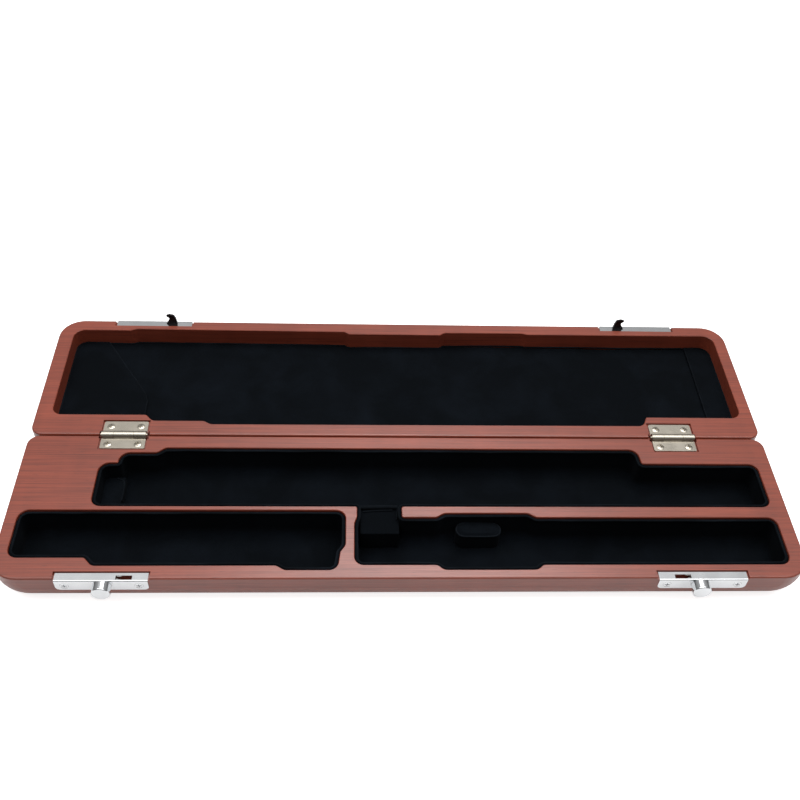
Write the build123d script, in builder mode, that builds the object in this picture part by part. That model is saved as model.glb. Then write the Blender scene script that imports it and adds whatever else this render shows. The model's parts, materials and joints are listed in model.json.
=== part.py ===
from build123d import *
import os

# A hardwood case for a flute in three joints, lying fully open. The base is in front, with one
# pocket for the body and head joint and one for the foot joint. The lid lies behind it, bottom up.
# Frame: X to the right along the hinge line, Y to the back, Z up, origin under the base's centre.
# Outlines are drawn from the hinge line (y, minus to the front) and from the rims (z, minus down).

# Driving dimensions in millimetres
# Case
CASE_LENGTH = 420.0
HALF_DEPTH = 94.6
HALF_HEIGHT = 23.0
SEAM_GAP = 0.4
RIM_CLEARANCE = 0.1
ROUND_ENDS = 18.0
ROUND_FRONT = 14.0
ROUND_HINGE_SIDE = 6.5
RIM_EASE = 1.0
POCKET_EASE = 0.3
OVERCUT = 2.0

# Pockets and linings
POCKET_FLOOR = -19.0
POCKET_BOTTOM_ROUND = 4.0
LINING = 1.5
LINING_TOP = -0.5
LID_FLOOR = -14.3
LID_PANEL = 2.6
LID_PANEL_GAP = 0.3
LID_PAD = 1.3

# Rests in the pockets, cut off by the pocket's walls where they reach past them
TENON_REST_X = (-170.0, -154.3)
TENON_REST_Y = (-52.0, -21.5)
TENON_REST_TOP = -11.0
SADDLE_X = (-24.5, -3.6)
SADDLE_Y = (-64.5, -48.0)
SADDLE_TOP = -4.4
LIP_REST_FOOT, LIP_REST_FOOT_SIZE = (39.2, -60.3), (24.5, 9.0)
LIP_REST_HEAD, LIP_REST_HEAD_SIZE = (38.6, -59.9), (18.2, 6.6)
LIP_REST_SHOULDER = -7.0
LIP_REST_TOP = -5.5

# Hinges
HINGE_X = 157.25
LEAF_WIDTH = 24.7
LEAF_START = 2.55
BASE_LEAF_END, BASE_LEAF_CORNER = 9.7, 0.8
LID_LEAF_END, LID_LEAF_CORNER = 10.3, 1.2
LEAF_THICK = 1.0
LEAF_SUNK = 0.3
LEAF_MARGIN = 0.9
KNUCKLE_R = 2.25
KNUCKLE_MIDDLE = 11.0
KNUCKLE_GAP = 0.15
PIN_R = 1.0
PIN_PLAY = 0.05
PIN_PROUD = 0.9
PIN_CHAMFER = 0.3
KNUCKLE_BED = 2.7
KNUCKLE_BED_MARGIN = 1.6
LEAF_SCREW_X = 8.35
LEAF_SCREW_Y = 6.6

# Locks, with lengths across the case from the hinge line and along it from the middle
LOCK_LEFT_X, LOCK_RIGHT_X = 153.9, 152.6
HOOK_PLATE_LEFT_X, HOOK_PLATE_RIGHT_X = 153.1, 153.7
PLATE_LENGTH = 46.4
PLATE_BACK = 91.1
PLATE_THICK = 1.0
PLATE_SUNK = 0.6
PLATE_FOLD = 0.7
FLANGE = 8.2
FLANGE_CORNER = 2.5
PLATE_MARGIN = 0.9
PLATE_BACK_MARGIN = 0.6
PLATE_SCREW_X = 18.5
PLATE_SCREW_Z = -4.7
MORTISE_INNER, MORTISE_OUTER = 137.6, 166.6
MORTISE_BACK = 92.0
MORTISE_FLOOR = -7.4
HOLE_LEFT, HOLE_RIGHT = (138.6, 146.8), (137.8, 146.2)
HOLE_BACK = 92.6
GUIDE_INNER, GUIDE_OUTER = 149.0, 166.4
GUIDE_TOP, GUIDE_BOTTOM = -1.6, -7.2
GUIDE_BACK = 92.1
GUIDE_WALL = 0.5
BOLT_TIP = 144.6
BOLT_OUTER = 157.6
BOLT_BACK, BOLT_FRONT = 92.8, 94.8
BOLT_TOP, BOLT_BOTTOM = -2.4, -6.4
NOSE_TOP, NOSE_BOTTOM = -3.3, -4.5
NOSE_RAMP, NOSE_LENGTH, NOSE_BEVEL = 2.0, 4.6, 0.9
KNOB_LEFT_X, KNOB_RIGHT_X = 153.7, 151.5
KNOB_Z = -4.6
KNOB_R = 4.8
KNOB_LENGTH = 5.1
KNOB_ROUND = 0.7
KNOB_GAP = 0.1
STEM_R = 1.3
STEM_PLAY = 0.1
BOLT_TRAVEL = 2.8
SPRING_R = 0.9
SPRING_WIRE = 0.35
SPRING_TURNS = 8
SPRING_GAP = 0.1
HOOK_BACK, HOOK_FRONT = 93.1, 94.5
TENON_INNER, TENON_OUTER = 140.4, 144.6
TENON_RISE = 0.5

# Screws, with heads sunk at 90 degrees
LEAF_SCREW_HEAD, LEAF_SCREW_R, LEAF_SCREW_DOME = 2.0, 1.0, 0.3
PLATE_SCREW_HEAD, PLATE_SCREW_R, PLATE_SCREW_DOME = 2.1, 1.1, 0.1
SCREW_ANGLE = 90
SCREW_LENGTH = 7.0
SCREW_TIP, SCREW_TIP_R = 1.5, 0.2
SCREW_SUNK = 0.05
SCREW_PLAY = 0.1
CROSS_SPAN, CROSS_WIDTH, CROSS_DEPTH = 2.6, 0.5, 0.5

# Places worked out from the driving dimensions
HINGE_Y = HALF_DEPTH / 2 + SEAM_GAP
RIM_Z = HALF_HEIGHT
WOOD_FACE = SEAM_GAP + HALF_DEPTH
FLANGE_BACK = WOOD_FACE
PLATE_FACE = FLANGE_BACK + PLATE_THICK
BASE, LID = -1, 1
LEFT, RIGHT = -1, 1
SIDES = ((LEFT, "left"), (RIGHT, "right"))
LEAF_END = {BASE: BASE_LEAF_END, LID: LID_LEAF_END}
LEAF_CORNER = {BASE: BASE_LEAF_CORNER, LID: LID_LEAF_CORNER}
PLATE_X = {
    (BASE, LEFT): -LOCK_LEFT_X,
    (BASE, RIGHT): LOCK_RIGHT_X,
    (LID, LEFT): -HOOK_PLATE_LEFT_X,
    (LID, RIGHT): HOOK_PLATE_RIGHT_X,
}
HOLE = {LEFT: HOLE_LEFT, RIGHT: HOLE_RIGHT}
KNOB_X = {LEFT: -KNOB_LEFT_X, RIGHT: KNOB_RIGHT_X}

rims = Plane(origin=(0, HINGE_Y, RIM_Z))
blank_floor = Plane(origin=(0, HINGE_Y, 0))

# Outlines of the wood's openings: (x, y, corner radius), anticlockwise from the far left corner
BODY_NEAR = -49.7
HEAD_NEAR = -86.8
BAY_NEAR = -89.8
RIGHT_END = 201.7
tray_outline = [
    (-133.0, -9.1, 4.5),
    (-137.2, -12.6, 3.0),
    (-157.5, -12.6, 6.0),
    (-157.5, -20.0, 0.6),
    (-167.5, -20.0, 6.0),
    (-167.5, BODY_NEAR, 5.5),
    (-26.0, BODY_NEAR, 1.0),
    (-26.0, -56.5, 2.0),
    (-27.4, -60.5, 4.5),
    (-27.4, HEAD_NEAR, 5.0),
    (15.3, HEAD_NEAR, 3.0),
    (18.6, BAY_NEAR, 4.5),
    (66.8, BAY_NEAR, 4.5),
    (70.4, HEAD_NEAR, 3.0),
    (RIGHT_END, HEAD_NEAR, 6.0),
    (RIGHT_END, -56.8, 5.0),
    (70.2, -56.8, 3.0),
    (66.0, -54.1, 4.5),
    (20.6, -54.1, 4.5),
    (16.6, -56.8, 3.0),
    (-2.1, -56.8, 1.0),
    (-2.1, BODY_NEAR, 1.2),
    (RIGHT_END, BODY_NEAR, 5.5),
    (RIGHT_END, -19.5, 5.0),
    (135.4, -19.5, 1.2),
    (134.2, -9.1, 5.5),
]
foot_outline = [
    (-203.5, -52.2, 6.0),
    (-203.5, -82.1, 5.5),
    (-164.4, -82.1, 2.0),
    (-160.0, -87.0, 4.5),
    (-67.4, -87.0, 3.0),
    (-62.8, BAY_NEAR, 4.5),
    (-36.1, BAY_NEAR, 5.0),
    (-34.7, -78.6, 2.0),
    (-32.0, -74.6, 4.5),
    (-32.0, -52.2, 5.5),
]
lid_outline = [
    (-201.0, 86.3, 6.5),
    (-201.0, 15.6, 5.5),
    (-147.3, 15.6, 2.0),
    (-143.4, 11.1, 4.5),
    (-114.0, 11.1, 3.0),
    (-109.8, 8.6, 4.5),
    (142.2, 9.2, 4.5),
    (145.0, 16.0, 1.5),
    (202.5, 16.0, 6.0),
    (202.5, 86.7, 7.0),
    (82.8, 86.3, 3.0),
    (78.8, 87.4, 4.5),
    (29.6, 87.1, 2.0),
    (26.6, 85.0, 1.0),
    (-31.0, 85.0, 1.0),
    (-33.9, 87.0, 2.0),
    (-163.2, 87.7, 3.0),
    (-167.2, 86.3, 2.0),
]

# Outlines of the lid's pads, which the recess's walls cut off, seen from above
left_pad_outline = [(-210, 90), (-184.4, 90), (-152.6, 41.5), (-151.0, 36.0), (-151.0, 5), (-210, 5)]
right_pad_outline = [(187.0, 95), (210, 95), (210, 5), (187.0, 5)]

# Outline of a hook: (x, height over the lid's rim, corner radius)
hook_outline = [
    (139.0, -PLATE_SUNK, 0),
    (139.5, 3.7, 3.0),
    (140.6, 6.2, 1.2),
    (143.2, 6.8, 1.2),
    (145.7, 6.1, 0.35),
    (143.5, 4.2, 1.0),
    (144.2, 2.1, 1.5),
    (145.8, -PLATE_SUNK, 0),
]


def block(x, y, z, mode=Mode.ADD):
    """A box between two places on each axis, y from the hinge line and z from the rims."""
    middle = ((x[0] + x[1]) / 2, HINGE_Y + (y[0] + y[1]) / 2, RIM_Z + (z[0] + z[1]) / 2)
    with Locations(middle):
        Box(abs(x[1] - x[0]), abs(y[1] - y[0]), abs(z[1] - z[0]), mode=mode)


def room(outline, inset, top, floor, bottom_round):
    """The space inside an outline from a height down to a floor with a rounded edge."""
    with BuildPart() as space:
        with BuildSketch(rims.offset(top)):
            with BuildLine():
                corners = [(x, y) for x, y, radius in outline]
                FilletPolyline(*corners, radius=[radius for x, y, radius in outline], close=True)
            make_face()
            if inset > 0:
                offset(amount=-inset)
        extrude(amount=floor - top)
        if bottom_round > 0:
            fillet(space.faces().sort_by(Axis.Z)[0].edges(), radius=bottom_round)
    return space.part


def across(x, y=0.0, z=0.0):
    """A plane square to the hinge line, with its own x along Y and its own y up."""
    return Plane(origin=(x, HINGE_Y + y, RIM_Z + z), x_dir=(0, 1, 0), z_dir=(1, 0, 0))


def outward(x, half, y, z=0.0):
    """A plane that faces out of one half's long front, with its own y up."""
    return Plane(origin=(x, HINGE_Y + half * y, RIM_Z + z), x_dir=(-half, 0, 0), z_dir=(0, half, 0))


def leaf_screw_places(side, half):
    """Where the two screws of one hinge leaf are driven, pointing up out of the rim."""
    y, z = HINGE_Y + half * LEAF_SCREW_Y, RIM_Z - LEAF_SUNK
    return [Plane(origin=(side * HINGE_X + end * LEAF_SCREW_X, y, z)) for end in (-1, 1)]


def plate_screw_places(side, half):
    """Where the two screws of one lock or hook plate are driven, pointing out of its face."""
    middle = PLATE_X[half, side]
    return [outward(middle + end * PLATE_SCREW_X, half, PLATE_FACE, PLATE_SCREW_Z) for end in (-1, 1)]


def save(piece, name):
    """Labels a finished piece and writes it."""
    piece.label = name
    export_step(piece, f"parts/{name}.step")


os.makedirs("parts", exist_ok=True)

# The wood. Both halves start from one rounded blank, the lid's turned over the hinge line.
with BuildPart() as blank:
    with BuildSketch(blank_floor):
        with Locations((0, -SEAM_GAP - HALF_DEPTH / 2)):
            Rectangle(CASE_LENGTH, HALF_DEPTH)
    extrude(amount=HALF_HEIGHT)
    fillet(blank.edges().filter_by(Axis.Y).group_by(Axis.Z)[0], radius=ROUND_ENDS)
    front_face = blank.faces().sort_by(Axis.Y)[0]
    fillet(front_face.edges().sort_by(Axis.Z)[:-1], radius=ROUND_FRONT)
    hinge_face = blank.faces().sort_by(Axis.Y)[-1]
    fillet(hinge_face.edges().sort_by(Axis.Z)[:-1], radius=ROUND_HINGE_SIDE)
    fillet(blank.faces().sort_by(Axis.Z)[-1].edges(), radius=RIM_EASE)


def shell(half, pockets):
    """One wooden half with its pockets and the beds of its hinges and its lock or hook plates."""
    with BuildPart() as wood:
        if half == BASE:
            add(blank.part)
        else:
            add(blank.part.mirror(Plane(origin=(0, HINGE_Y, 0), z_dir=(0, 1, 0))))
        for pocket in pockets:
            add(pocket, mode=Mode.SUBTRACT)
        for opening in wood.faces().sort_by(Axis.Z)[-1].inner_wires():
            chamfer(opening.edges(), length=POCKET_EASE)
        for side, name in SIDES:
            hinge_x = side * HINGE_X
            half_leaf = LEAF_WIDTH / 2 + LEAF_MARGIN
            half_bed = LEAF_WIDTH / 2 + KNUCKLE_BED_MARGIN
            leaf_bed = (0, half * (LEAF_END[half] + LEAF_MARGIN))
            leaf_depth = (-LEAF_THICK - LEAF_SUNK, OVERCUT)
            block((hinge_x - half_leaf, hinge_x + half_leaf), leaf_bed, leaf_depth, Mode.SUBTRACT)
            knuckle_bed = (0, half * KNUCKLE_BED)
            knuckle_depth = (-KNUCKLE_BED, OVERCUT)
            block((hinge_x - half_bed, hinge_x + half_bed), knuckle_bed, knuckle_depth, Mode.SUBTRACT)
            plate_x = PLATE_X[half, side]
            half_plate = PLATE_LENGTH / 2 + PLATE_MARGIN
            plate_bed = (half * (PLATE_BACK - PLATE_BACK_MARGIN), half * (WOOD_FACE + OVERCUT))
            plate_depth = (-PLATE_THICK - PLATE_SUNK, OVERCUT)
            block((plate_x - half_plate, plate_x + half_plate), plate_bed, plate_depth, Mode.SUBTRACT)
            if half == BASE:
                mortise = (side * MORTISE_INNER, side * MORTISE_OUTER)
                reach = (-MORTISE_BACK, -WOOD_FACE - OVERCUT)
                block(mortise, reach, (MORTISE_FLOOR, 0), Mode.SUBTRACT)
            with Locations(*leaf_screw_places(side, half)):
                Hole(radius=LEAF_SCREW_R, depth=SCREW_LENGTH + SCREW_PLAY)
            with Locations(*plate_screw_places(side, half)):
                Hole(radius=PLATE_SCREW_R, depth=SCREW_LENGTH + SCREW_PLAY)
    return wood.part


tray_room = room(tray_outline, 0, OVERCUT, POCKET_FLOOR, POCKET_BOTTOM_ROUND)
foot_room = room(foot_outline, 0, OVERCUT, POCKET_FLOOR, POCKET_BOTTOM_ROUND)
lid_room = room(lid_outline, 0, OVERCUT, LID_FLOOR, 0)
save(shell(BASE, [tray_room, foot_room]), "base_shell")
save(shell(LID, [lid_room]), "lid_shell")

# Velvet linings: skins on the walls and floors of the base's pockets, a covered panel in the lid
velvet_floor = POCKET_FLOOR + LINING
velvet_round = POCKET_BOTTOM_ROUND - LINING
tray_inside = room(tray_outline, LINING, OVERCUT, velvet_floor, velvet_round)
foot_inside = room(foot_outline, LINING, OVERCUT, velvet_floor, velvet_round)
for outline, inside, name in (
    (tray_outline, tray_inside, "tray_lining"),
    (foot_outline, foot_inside, "foot_lining"),
):
    with BuildPart() as lining:
        add(room(outline, 0, LINING_TOP, POCKET_FLOOR, POCKET_BOTTOM_ROUND))
        add(inside, mode=Mode.SUBTRACT)
    save(lining.part, name)
panel_top = LID_FLOOR + LID_PANEL
save(room(lid_outline, LID_PANEL_GAP, panel_top, LID_FLOOR, 0), "lid_panel")

# Rests: blocks that fill a pocket's width up to a height, and a cushion with a sloping shoulder
for reach_x, reach_y, top, name in (
    (TENON_REST_X, TENON_REST_Y, TENON_REST_TOP, "tenon_rest"),
    (SADDLE_X, SADDLE_Y, SADDLE_TOP, "channel_saddle"),
):
    with BuildPart() as rest:
        add(tray_inside)
        block(reach_x, reach_y, (velvet_floor - OVERCUT, top), Mode.INTERSECT)
    save(rest.part, name)

with BuildPart() as lip_rest:
    with BuildSketch(rims.offset(velvet_floor)):
        with Locations(LIP_REST_FOOT):
            SlotOverall(*LIP_REST_FOOT_SIZE)
    extrude(amount=LIP_REST_SHOULDER - velvet_floor)
    with BuildSketch(rims.offset(LIP_REST_SHOULDER)):
        with Locations(LIP_REST_FOOT):
            SlotOverall(*LIP_REST_FOOT_SIZE)
    with BuildSketch(rims.offset(LIP_REST_TOP)):
        with Locations(LIP_REST_HEAD):
            SlotOverall(*LIP_REST_HEAD_SIZE)
    loft()
    add(tray_inside, mode=Mode.INTERSECT)
save(lip_rest.part, "lip_rest")

# Two thin pads lie on the lid's panel, one at each end
pad_room = room(lid_outline, LID_PANEL_GAP, panel_top + LID_PAD, panel_top, 0)
for corners, name in ((left_pad_outline, "lid_left_pad"), (right_pad_outline, "lid_right_pad")):
    with BuildPart() as pad:
        add(pad_room)
        with BuildSketch(rims.offset(LID_FLOOR)):
            with BuildLine():
                Polyline(*corners, close=True)
            make_face()
        extrude(amount=-LID_FLOOR, mode=Mode.INTERSECT)
    save(pad.part, name)


def screws(places, head, shank, dome):
    """Countersunk cross-head screws driven in at each place, the heads' rims a little under the face."""
    with BuildPart() as screw:
        with BuildSketch(Plane.XZ):
            with BuildLine():
                middle = (0, dome - SCREW_SUNK)
                head_rim = (head - SCREW_SUNK, -SCREW_SUNK)
                TangentArc(middle, head_rim, tangent=(1, 0))
                neck = (shank, shank - head)
                taper = (shank, SCREW_TIP - SCREW_LENGTH)
                Polyline(head_rim, neck, taper, (SCREW_TIP_R, -SCREW_LENGTH), (0, -SCREW_LENGTH), middle)
            make_face()
        revolve(axis=Axis.Z)
        with Locations((0, 0, -SCREW_SUNK)):
            Box(CROSS_SPAN, CROSS_WIDTH, 2 * CROSS_DEPTH, mode=Mode.SUBTRACT)
            Box(CROSS_WIDTH, CROSS_SPAN, 2 * CROSS_DEPTH, mode=Mode.SUBTRACT)
    with BuildPart() as group:
        with Locations(*places):
            add(screw.part)
    return group.part


def seats(places, head, shank):
    """The countersunk holes of those screws, cut through the leaf or plate that is being made."""
    with Locations(*places):
        CounterSinkHole(
            radius=shank + SCREW_PLAY,
            counter_sink_radius=head + SCREW_PLAY,
            depth=OVERCUT,
            counter_sink_angle=SCREW_ANGLE,
        )


def hinge_leaf(side, half, knuckles, bore):
    """One leaf with its knuckles, given as stretches from the hinge's middle."""
    middle = side * HINGE_X
    with BuildPart() as leaf:
        with BuildSketch(rims.offset(-LEAF_SUNK)):
            with Locations((middle, half * (LEAF_START + LEAF_END[half]) / 2)):
                Rectangle(LEAF_WIDTH, LEAF_END[half] - LEAF_START)
        extrude(amount=-LEAF_THICK)
        corners = leaf.edges().filter_by(Axis.Z).sort_by(Axis.Y)
        fillet(corners[:2] if half == BASE else corners[2:], radius=LEAF_CORNER[half])
        leaf_middle = -RIM_CLEARANCE - LEAF_SUNK - LEAF_THICK / 2
        for start, end in knuckles:
            with BuildSketch(across(middle + start, z=RIM_CLEARANCE)):
                Circle(KNUCKLE_R)
                with Locations((half * LEAF_START / 2, leaf_middle)):
                    Rectangle(LEAF_START, LEAF_THICK)
            extrude(amount=end - start)
        with BuildSketch(across(middle - LEAF_WIDTH, z=RIM_CLEARANCE)):
            Circle(bore)
        extrude(amount=2 * LEAF_WIDTH, mode=Mode.SUBTRACT)
        seats(leaf_screw_places(side, half), LEAF_SCREW_HEAD, LEAF_SCREW_R)
    return leaf.part


# Hinges: the base leaf's middle knuckle holds the pin, the lid leaf's outer knuckles turn on it
base_knuckles = [(-KNUCKLE_MIDDLE / 2, KNUCKLE_MIDDLE / 2)]
lid_knuckle = (KNUCKLE_MIDDLE / 2 + KNUCKLE_GAP, LEAF_WIDTH / 2)
lid_knuckles = [(-lid_knuckle[1], -lid_knuckle[0]), lid_knuckle]
for side, name in SIDES:
    save(hinge_leaf(side, BASE, base_knuckles, PIN_R), f"hinge_base_leaf_{name}")
    save(hinge_leaf(side, LID, lid_knuckles, PIN_R + PIN_PLAY), f"hinge_lid_leaf_{name}")
    with BuildPart() as pin:
        with BuildSketch(across(side * HINGE_X - LEAF_WIDTH / 2 - PIN_PROUD, z=RIM_CLEARANCE)):
            Circle(PIN_R)
        extrude(amount=LEAF_WIDTH + 2 * PIN_PROUD)
        chamfer(pin.edges(), length=PIN_CHAMFER)
    save(pin.part, f"hinge_pin_{name}")
    for half, half_name in ((BASE, "base"), (LID, "lid")):
        places = leaf_screw_places(side, half)
        leaf_screws = screws(places, LEAF_SCREW_HEAD, LEAF_SCREW_R, LEAF_SCREW_DOME)
        save(leaf_screws, f"hinge_{half_name}_screws_{name}")


def corner_plate(side, half):
    """The folded plate of a lock or hook: a strip in the rim and a flange on the wood's face."""
    with BuildPart() as plate:
        with BuildSketch(across(PLATE_X[half, side] - PLATE_LENGTH / 2)):
            with BuildLine():
                Polyline(
                    (half * PLATE_BACK, -PLATE_SUNK),
                    (half * PLATE_FACE, -PLATE_SUNK),
                    (half * PLATE_FACE, -FLANGE),
                    (half * FLANGE_BACK, -FLANGE),
                    (half * FLANGE_BACK, -PLATE_SUNK - PLATE_THICK),
                    (half * PLATE_BACK, -PLATE_SUNK - PLATE_THICK),
                    close=True,
                )
            make_face()
        extrude(amount=PLATE_LENGTH)
        fillet(plate.edges().filter_by(Axis.Y).group_by(Axis.Z)[0], radius=FLANGE_CORNER)
        fold = plate.edges().filter_by(Axis.X).group_by(Axis.Z)[-1].sort_by(Axis.Y)
        fillet(fold[0] if half == BASE else fold[-1], radius=PLATE_FOLD)
        seats(plate_screw_places(side, half), PLATE_SCREW_HEAD, PLATE_SCREW_R)
    return plate.part


# Locks: a knob on the front draws a sprung bolt outwards from the hook's throat
for side, name in SIDES:
    stem_place = outward(KNOB_X[side], BASE, PLATE_FACE, KNOB_Z)

    with BuildPart() as lock_plate:
        add(corner_plate(side, BASE))
        block(
            (side * HOLE[side][0], side * HOLE[side][1]),
            (-HOLE_BACK, -FLANGE_BACK),
            (-OVERCUT, OVERCUT),
            Mode.SUBTRACT,
        )
        with BuildSketch(stem_place):
            slot_height = 2 * (STEM_R + STEM_PLAY)
            with Locations((side * BOLT_TRAVEL / 2, 0)):
                SlotOverall(BOLT_TRAVEL + slot_height, slot_height)
        extrude(amount=-OVERCUT, mode=Mode.SUBTRACT)
    save(lock_plate.part, f"lock_plate_{name}")
    places = plate_screw_places(side, BASE)
    save(screws(places, PLATE_SCREW_HEAD, PLATE_SCREW_R, PLATE_SCREW_DOME), f"lock_screws_{name}")

    with BuildPart() as bolt_guide:
        length = (side * GUIDE_INNER, side * GUIDE_OUTER)
        block(length, (-GUIDE_BACK, -FLANGE_BACK), (GUIDE_BOTTOM, GUIDE_TOP))
        block(
            (side * (GUIDE_INNER - OVERCUT), side * (GUIDE_OUTER - GUIDE_WALL)),
            (-GUIDE_BACK - GUIDE_WALL, -FLANGE_BACK - OVERCUT),
            (GUIDE_BOTTOM + GUIDE_WALL, GUIDE_TOP - GUIDE_WALL),
            Mode.SUBTRACT,
        )
    save(bolt_guide.part, f"bolt_guide_{name}")

    with BuildPart() as bolt:
        with BuildSketch(outward(0, BASE, BOLT_BACK)):
            with BuildLine():
                Polyline(
                    (side * BOLT_OUTER, BOLT_TOP),
                    (side * (BOLT_TIP + NOSE_RAMP), BOLT_TOP),
                    (side * BOLT_TIP, NOSE_TOP),
                    (side * BOLT_TIP, NOSE_BOTTOM),
                    (side * (BOLT_TIP + NOSE_LENGTH), NOSE_BOTTOM),
                    (side * (BOLT_TIP + NOSE_LENGTH), BOLT_BOTTOM),
                    (side * BOLT_OUTER, BOLT_BOTTOM),
                    close=True,
                )
            make_face()
        extrude(amount=BOLT_FRONT - BOLT_BACK)
        tip = bolt.edges().filter_by(Axis.Z).group_by(Axis.X)[0 if side > 0 else -1]
        chamfer(tip.sort_by(Axis.Y)[-1], length=NOSE_BEVEL)
        with Locations(stem_place):
            Hole(radius=STEM_R)
    save(bolt.part, f"bolt_{name}")

    with BuildPart() as knob:
        with BuildSketch(stem_place.offset(KNOB_GAP)):
            Circle(KNOB_R)
        extrude(amount=KNOB_LENGTH)
        fillet(knob.edges().group_by(Axis.Y)[0], radius=KNOB_ROUND)
        with BuildSketch(stem_place.offset(KNOB_GAP)):
            Circle(STEM_R)
        extrude(amount=BOLT_BACK - PLATE_FACE - KNOB_GAP)
    save(knob.part, f"knob_{name}")

    with BuildPart() as bolt_spring:
        spring_start = BOLT_OUTER + SPRING_WIRE / 2 + SPRING_GAP
        spring_end = GUIDE_OUTER - GUIDE_WALL - SPRING_WIRE / 2 - SPRING_GAP
        with BuildLine():
            coil = Helix(
                pitch=(spring_end - spring_start) / SPRING_TURNS,
                height=spring_end - spring_start,
                radius=SPRING_R,
                center=(side * spring_start, HINGE_Y - (BOLT_BACK + BOLT_FRONT) / 2, RIM_Z + KNOB_Z),
                direction=(side, 0, 0),
            )
        with BuildSketch(Plane(origin=coil @ 0, z_dir=coil % 0)):
            Circle(SPRING_WIRE / 2)
        sweep()
    save(bolt_spring.part, f"bolt_spring_{name}")

# Hooks: each is riveted through a plate in the lid's rim and reaches down through the lock's hole
for side, name in SIDES:
    with BuildPart() as hook_plate:
        add(corner_plate(side, LID))
        block(
            (side * TENON_INNER, side * TENON_OUTER),
            (HOOK_BACK, HOOK_FRONT),
            (-OVERCUT, OVERCUT),
            Mode.SUBTRACT,
        )
    save(hook_plate.part, f"hook_plate_{name}")

    with BuildPart() as hook:
        with BuildSketch(outward(0, BASE, -HOOK_FRONT)):
            with BuildLine():
                corners = [(side * x, height) for x, height, radius in hook_outline]
                FilletPolyline(*corners, radius=[radius for x, height, radius in hook_outline], close=True)
            make_face()
        extrude(amount=HOOK_FRONT - HOOK_BACK)
        block(
            (side * TENON_INNER, side * TENON_OUTER),
            (HOOK_BACK, HOOK_FRONT),
            (-PLATE_SUNK - PLATE_THICK, TENON_RISE),
        )
    save(hook.part, f"hook_{name}")
    places = plate_screw_places(side, LID)
    save(screws(places, PLATE_SCREW_HEAD, PLATE_SCREW_R, PLATE_SCREW_DOME), f"hook_screws_{name}")
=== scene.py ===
"""Looks for a hardwood flute case that lies open: stained wood, velvet linings, plated fittings.

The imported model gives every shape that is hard. This script dresses those nodes, and makes the
velvet pieces anew around their firm solids. Lengths are millimetres until they reach a mesh.
"""

import json
import logging
import math
from dataclasses import dataclass
from enum import Enum

import bmesh
import bpy
from mathutils import Matrix, Vector, kdtree, noise

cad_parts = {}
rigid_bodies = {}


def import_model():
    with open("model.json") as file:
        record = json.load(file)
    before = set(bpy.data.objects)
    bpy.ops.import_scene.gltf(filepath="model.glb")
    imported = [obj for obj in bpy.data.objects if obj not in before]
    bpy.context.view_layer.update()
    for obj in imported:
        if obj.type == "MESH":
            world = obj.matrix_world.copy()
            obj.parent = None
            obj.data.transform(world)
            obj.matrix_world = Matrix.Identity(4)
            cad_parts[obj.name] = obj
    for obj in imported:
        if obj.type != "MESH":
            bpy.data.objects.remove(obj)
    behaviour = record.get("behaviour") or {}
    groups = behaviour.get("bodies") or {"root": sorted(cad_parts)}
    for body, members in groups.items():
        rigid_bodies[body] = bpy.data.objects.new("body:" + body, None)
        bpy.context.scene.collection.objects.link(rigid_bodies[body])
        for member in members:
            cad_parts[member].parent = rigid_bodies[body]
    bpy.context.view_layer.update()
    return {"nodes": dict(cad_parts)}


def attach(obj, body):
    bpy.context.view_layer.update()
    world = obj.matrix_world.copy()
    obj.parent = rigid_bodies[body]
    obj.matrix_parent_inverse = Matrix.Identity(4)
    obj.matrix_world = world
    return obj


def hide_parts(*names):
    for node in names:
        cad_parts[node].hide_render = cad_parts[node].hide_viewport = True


Colour = tuple[float, float, float, float]
Nodes = dict[str, bpy.types.Object]
Point = tuple[float, float, float]

LOG = logging.getLogger("flute_case")
MM = 0.001
SIDES = ("left", "right")
# The middle of the hinge line, at the height of the rims
HINGE_MM = (0.0, 47.7, 23.0)
# Corners of a CAD mesh that are closer than this are one corner
MERGE_MM = 0.001
# Corners of a flat top differ in height by less than this
FLAT_MM = 0.01
# Nearly all of a noise lies between these levels, and of two noises mixed between the next
NOISE_SPREAD = (0.3, 0.7)
MIXED_SPREAD = (0.35, 0.65)
# A velvet edge is loose in some stretches: how long they are, the middle looseness, its swing
LOOSE_WAVE_MM = 24.0
LOOSE_MIDDLE = 0.45
LOOSE_SWING = 1.1


class Body(Enum):
    """The bodies of the case that a piece can ride on."""

    BASE = "base"
    LID = "lid"


class Slot(Enum):
    """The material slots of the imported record."""

    WOOD = "stained_wood"
    VELVET = "velvet"
    NICKEL = "nickel_plated_steel"
    CHROME = "polished_chrome"
    STEEL = "bright_steel"
    BLACK = "blackened_steel"


def linear(code: str) -> Colour:
    """Turns an sRGB hex code into a linear colour.

    Args:
        code: Six hex digits after a hash.

    Returns:
        Red, green, blue and an alpha of 1.
    """
    shares = [int(code[i : i + 2], 16) / 255 for i in (1, 3, 5)]
    curve = [s / 12.92 if s <= 0.04045 else ((s + 0.055) / 1.055) ** 2.4 for s in shares]
    return (curve[0], curve[1], curve[2], 1.0)


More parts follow.
